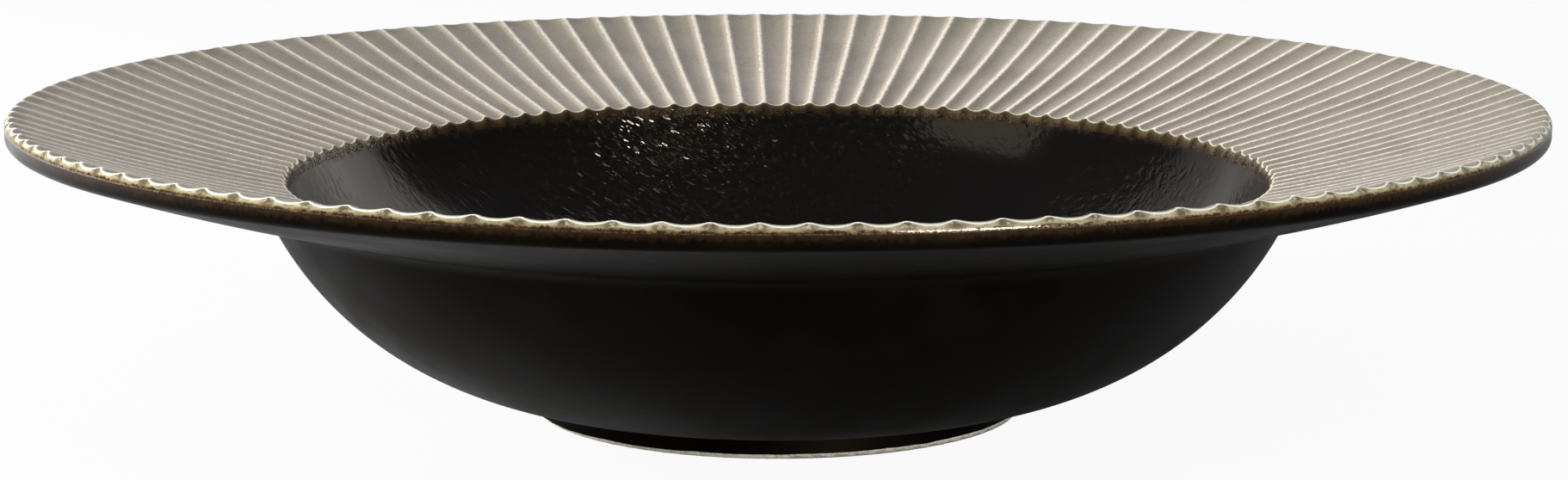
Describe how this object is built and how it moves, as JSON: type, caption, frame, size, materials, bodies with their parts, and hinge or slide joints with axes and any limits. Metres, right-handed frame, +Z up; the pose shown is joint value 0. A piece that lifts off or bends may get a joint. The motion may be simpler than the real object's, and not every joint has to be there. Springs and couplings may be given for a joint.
{
  "type": "rimmed soup plate",
  "caption": "Wide-rimmed soup plate in glazed stoneware: deep round well, dished rim with radial flutes, and a foot ring.",
  "frame": {"origin": "centre of the foot ring's bottom face, on the table", "axes": "+Z up along the axis of the plate; +X and +Y level, and the first ridge stands just anticlockwise of +X"},
  "size_m": [0.285, 0.285, 0.0591],
  "materials": {
    "bare_clay": "matt fired stoneware, wiped clean of glaze under the foot",
    "rim_glaze": "satin warm grey glaze that breaks to cream on the ridges",
    "well_glaze": "gloss black reactive glaze, mottled with golden brown",
    "outer_glaze": "semi-gloss brown black glaze"
  },
  "bodies": {
    "root": {"clay_body": "bare_clay", "rim_glaze": "rim_glaze", "well_glaze": "well_glaze", "outer_glaze": "outer_glaze", "base_glaze": "outer_glaze"}
  },
  "joints": []
}
